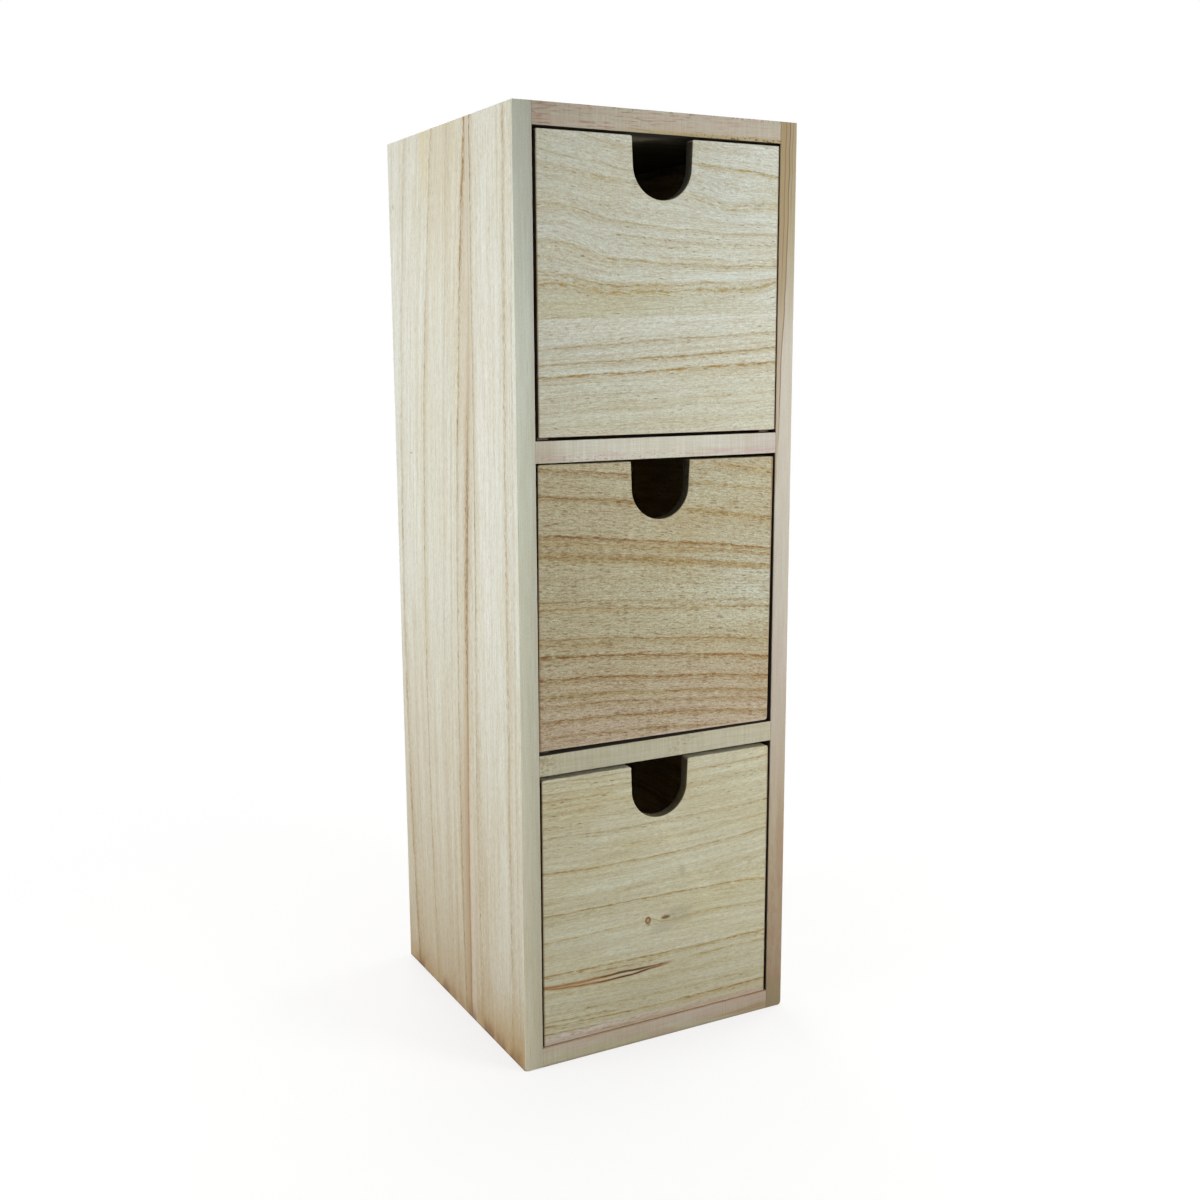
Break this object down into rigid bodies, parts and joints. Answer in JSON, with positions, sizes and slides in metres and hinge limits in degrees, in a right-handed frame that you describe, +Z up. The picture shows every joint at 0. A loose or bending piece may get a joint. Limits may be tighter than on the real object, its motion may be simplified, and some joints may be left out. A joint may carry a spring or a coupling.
{
  "type": "drawer chest",
  "caption": "Narrow upright chest of bare pale wood with stacked pull-out drawers, each opened by a U-shaped finger notch in the top of its front.",
  "frame": {"origin": "middle of the rectangle that the case covers, on the surface it stands on", "axes": "+Z up the case, -Y out of the drawer fronts, +X to the right seen from the front"},
  "size_m": [0.12, 0.124, 0.36],
  "materials": {
    "side_wood": "bare pale paulownia, planed, straight vertical grain",
    "board_wood": "bare paulownia, sawn edges, slightly pink",
    "upper_front_wood": "bare pale paulownia, wavy grain above a glue line",
    "middle_front_wood": "bare tan paulownia, level grain with dark pores",
    "lower_front_wood": "bare pale paulownia, grain rising to the right with one small knot",
    "drawer_wall_wood": "bare paulownia, planed",
    "plywood": "thin rotary-cut plywood, unfinished",
    "dowel_wood": "turned hardwood dowel",
    "pin_steel": "plain bright steel wire pins"
  },
  "bodies": {
    "case": {"left_side": "side_wood", "right_side": "side_wood", "top_board": "board_wood", "upper_shelf": "board_wood", "lower_shelf": "board_wood", "bottom_board": "board_wood", "back_panel": "plywood", "case_dowels": "dowel_wood", "back_panel_pins": "pin_steel"},
    "upper_drawer": {"upper_drawer_front_top_board": "upper_front_wood", "upper_drawer_front_bottom_board": "upper_front_wood", "upper_drawer_left_wall": "drawer_wall_wood", "upper_drawer_right_wall": "drawer_wall_wood", "upper_drawer_back_wall": "drawer_wall_wood", "upper_drawer_bottom": "plywood", "upper_drawer_pins": "pin_steel"},
    "middle_drawer": {"middle_drawer_front": "middle_front_wood", "middle_drawer_left_wall": "drawer_wall_wood", "middle_drawer_right_wall": "drawer_wall_wood", "middle_drawer_back_wall": "drawer_wall_wood", "middle_drawer_bottom": "plywood", "middle_drawer_pins": "pin_steel"},
    "lower_drawer": {"lower_drawer_front": "lower_front_wood", "lower_drawer_left_wall": "drawer_wall_wood", "lower_drawer_right_wall": "drawer_wall_wood", "lower_drawer_back_wall": "drawer_wall_wood", "lower_drawer_bottom": "plywood", "lower_drawer_pins": "pin_steel"}
  },
  "joints": [
    {"name": "upper_drawer_pull", "type": "slide", "parent": "case", "child": "upper_drawer", "axis": [0, -1, 0], "range_m": [0, 0.125]},
    {"name": "middle_drawer_pull", "type": "slide", "parent": "case", "child": "middle_drawer", "axis": [0, -1, 0], "range_m": [0, 0.125]},
    {"name": "lower_drawer_pull", "type": "slide", "parent": "case", "child": "lower_drawer", "axis": [0, -1, 0], "range_m": [0, 0.125]}
  ]
}
